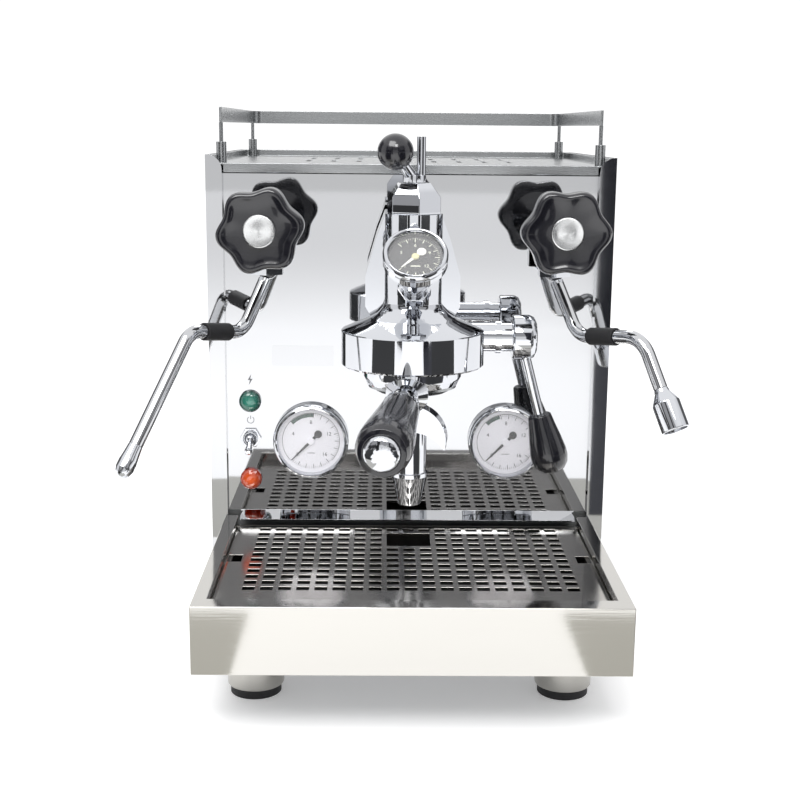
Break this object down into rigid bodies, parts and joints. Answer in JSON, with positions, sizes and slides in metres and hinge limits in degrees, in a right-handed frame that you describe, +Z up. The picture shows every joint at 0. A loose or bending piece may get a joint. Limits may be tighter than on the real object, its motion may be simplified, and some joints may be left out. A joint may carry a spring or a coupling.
{
  "type": "lever-group espresso machine",
  "caption": "Compact espresso machine with a mirror steel casing, a lever brew group, steam and hot water wands, a drip tray and a railed cup shelf.",
  "frame": {"origin": "on the counter, at the middle of the whole machine's box; the casing's middle plane is X = 0.0048 m and its front flanges are at Y = -0.005 m", "axes": "+X to the machine's right as the user faces it, +Y towards its back, +Z up"},
  "size_m": [0.3733, 0.5198, 0.393],
  "materials": {
    "mirror_steel": "stainless sheet polished to a mirror",
    "brushed_steel": "stainless steel, satin brushed",
    "chrome_plate": "polished and chromium plated brass",
    "zinc_plated_steel": "zinc plated steel, dull",
    "spun_aluminium": "spun finish, fine rings round the middle",
    "black_phenolic": "moulded, glossy",
    "black_rubber": "matt",
    "green_lens": "clear tinted moulding, glossy",
    "orange_lens": "clear tinted moulding, faceted",
    "white_dial": "satin printed card-white dial",
    "slate_dial": "satin slate dial",
    "dark_needle": "satin",
    "white_needle": "satin",
    "gauge_glass": "flat, clear",
    "copper_shell": "bare copper, drawn, slightly dull",
    "painted_pump": "grey paint, satin",
    "clear_plastic": "clear moulding",
    "grey_plastic": "moulded, matt",
    "black_plastic": "moulded, matt"
  },
  "bodies": {
    "casing": {"base_frame": "zinc_plated_steel", "front_panel": "mirror_steel", "left_side_panel": "mirror_steel", "right_side_panel": "mirror_steel", "back_panel": "brushed_steel", "foot_cups": "mirror_steel", "foot_pads": "black_rubber", "green_lamp": "green_lens", "orange_lamp": "orange_lens", "toggle_body": "chrome_plate", "panel_gauge_cases": "chrome_plate", "panel_gauge_dials": "white_dial", "panel_gauge_glasses": "gauge_glass", "group_body": "chrome_plate", "group_cap": "chrome_plate", "gauge_stem": "chrome_plate", "group_gauge_case": "brushed_steel", "group_gauge_dial": "slate_dial", "group_gauge_glass": "gauge_glass", "drain_nozzle": "chrome_plate", "shower_screen": "brushed_steel", "group_gasket": "black_rubber", "valve_bodies": "chrome_plate", "boiler": "copper_shell", "pump": "painted_pump", "water_tank": "clear_plastic", "control_box": "grey_plastic", "inlet_socket": "black_plastic"},
    "cup_tray": {"cup_tray": "brushed_steel", "cup_rail": "brushed_steel", "rail_posts": "brushed_steel"},
    "drip_tray": {"drip_tray": "brushed_steel"},
    "drip_grille": {"drip_grille": "brushed_steel"},
    "toggle": {"toggle_lever": "chrome_plate"},
    "left_needle": {"left_needle": "dark_needle"},
    "right_needle": {"right_needle": "dark_needle"},
    "group_needle": {"group_gauge_needle": "white_needle"},
    "flow_valve": {"flow_spindle": "chrome_plate", "flow_ball": "black_phenolic"},
    "brew_lever": {"brew_lever": "chrome_plate", "lever_grip": "black_phenolic"},
    "portafilter": {"portafilter_body": "chrome_plate", "filter_basket": "brushed_steel", "portafilter_spout": "chrome_plate", "portafilter_grip": "black_phenolic", "portafilter_cap": "chrome_plate"},
    "left_valve": {"left_spindle": "brushed_steel", "left_knob": "black_phenolic", "left_knob_cap": "spun_aluminium"},
    "right_valve": {"right_spindle": "brushed_steel", "right_knob": "black_phenolic", "right_knob_cap": "spun_aluminium"},
    "left_ball": {"left_wand_ball": "chrome_plate"},
    "right_ball": {"right_wand_ball": "chrome_plate"},
    "left_wand": {"left_wand_pipe": "mirror_steel", "left_wand_sleeve": "black_rubber", "steam_tip": "chrome_plate"},
    "right_wand": {"right_wand_pipe": "mirror_steel", "right_wand_sleeve": "black_rubber", "water_tip": "chrome_plate"}
  },
  "joints": [
    {"name": "cup_tray_lift", "type": "slide", "parent": "casing", "child": "cup_tray", "axis": [0, 0, 1], "range_m": [0, 0.06]},
    {"name": "drip_tray_slide", "type": "slide", "parent": "casing", "child": "drip_tray", "axis": [0, -1, 0], "range_m": [0, 0.2]},
    {"name": "drip_grille_lift", "type": "slide", "parent": "drip_tray", "child": "drip_grille", "axis": [0, 0, 1], "range_m": [0, 0.025]},
    {"name": "toggle_rock", "type": "hinge", "parent": "casing", "child": "toggle", "pos_m": [-0.11524, -0.005, 0.147], "axis": [-1, 0, 0], "range_deg": [0, 46]},
    {"name": "left_needle_turn", "type": "hinge", "parent": "casing", "child": "left_needle", "pos_m": [-0.06924, -0.005, 0.1455], "axis": [0, 1, 0], "range_deg": [0, 270]},
    {"name": "right_needle_turn", "type": "hinge", "parent": "casing", "child": "right_needle", "pos_m": [0.07876, -0.005, 0.1455], "axis": [0, 1, 0], "range_deg": [0, 270]},
    {"name": "group_needle_turn", "type": "hinge", "parent": "casing", "child": "group_needle", "pos_m": [0.00476, -0.15994, 0.30394], "axis": [0, 0.7071, -0.7071], "range_deg": [0, 270]},
    {"name": "flow_valve_turn", "type": "hinge", "parent": "casing", "child": "flow_valve", "pos_m": [0.00476, -0.105, 0.344], "axis": [0, 0, 1], "range_deg": [-90, 180]},
    {"name": "brew_lever_lift", "type": "hinge", "parent": "casing", "child": "brew_lever", "pos_m": [0.07636, -0.055, 0.2345], "axis": [-1, 0, 0], "range_deg": [0, 80]},
    {"name": "portafilter_turn", "type": "hinge", "parent": "casing", "child": "portafilter", "pos_m": [0.00476, -0.105, 0.2235], "axis": [0, 0, 1], "range_deg": [-40, 0]},
    {"name": "left_valve_turn", "type": "hinge", "parent": "casing", "child": "left_valve", "pos_m": [-0.09774, -0.077, 0.311], "axis": [0, -1, 0], "range_deg": [0, 540]},
    {"name": "right_valve_turn", "type": "hinge", "parent": "casing", "child": "right_valve", "pos_m": [0.10726, -0.077, 0.311], "axis": [0, -1, 0], "range_deg": [0, 540]},
    {"name": "left_wand_swing", "type": "hinge", "parent": "casing", "child": "left_ball", "pos_m": [-0.09774, -0.036, 0.2795], "axis": [0, 0, 1], "range_deg": [-50, 45]},
    {"name": "left_wand_tilt", "type": "hinge", "parent": "left_ball", "child": "left_wand", "pos_m": [-0.09774, -0.036, 0.2795], "axis": [-0.8192, 0.5736, 0], "range_deg": [-20, 5]},
    {"name": "right_wand_swing", "type": "hinge", "parent": "casing", "child": "right_ball", "pos_m": [0.10726, -0.036, 0.2795], "axis": [0, 0, 1], "range_deg": [-35, 50]},
    {"name": "right_wand_tilt", "type": "hinge", "parent": "right_ball", "child": "right_wand", "pos_m": [0.10726, -0.036, 0.2795], "axis": [-0.8192, -0.5736, 0], "range_deg": [-20, 5]}
  ]
}
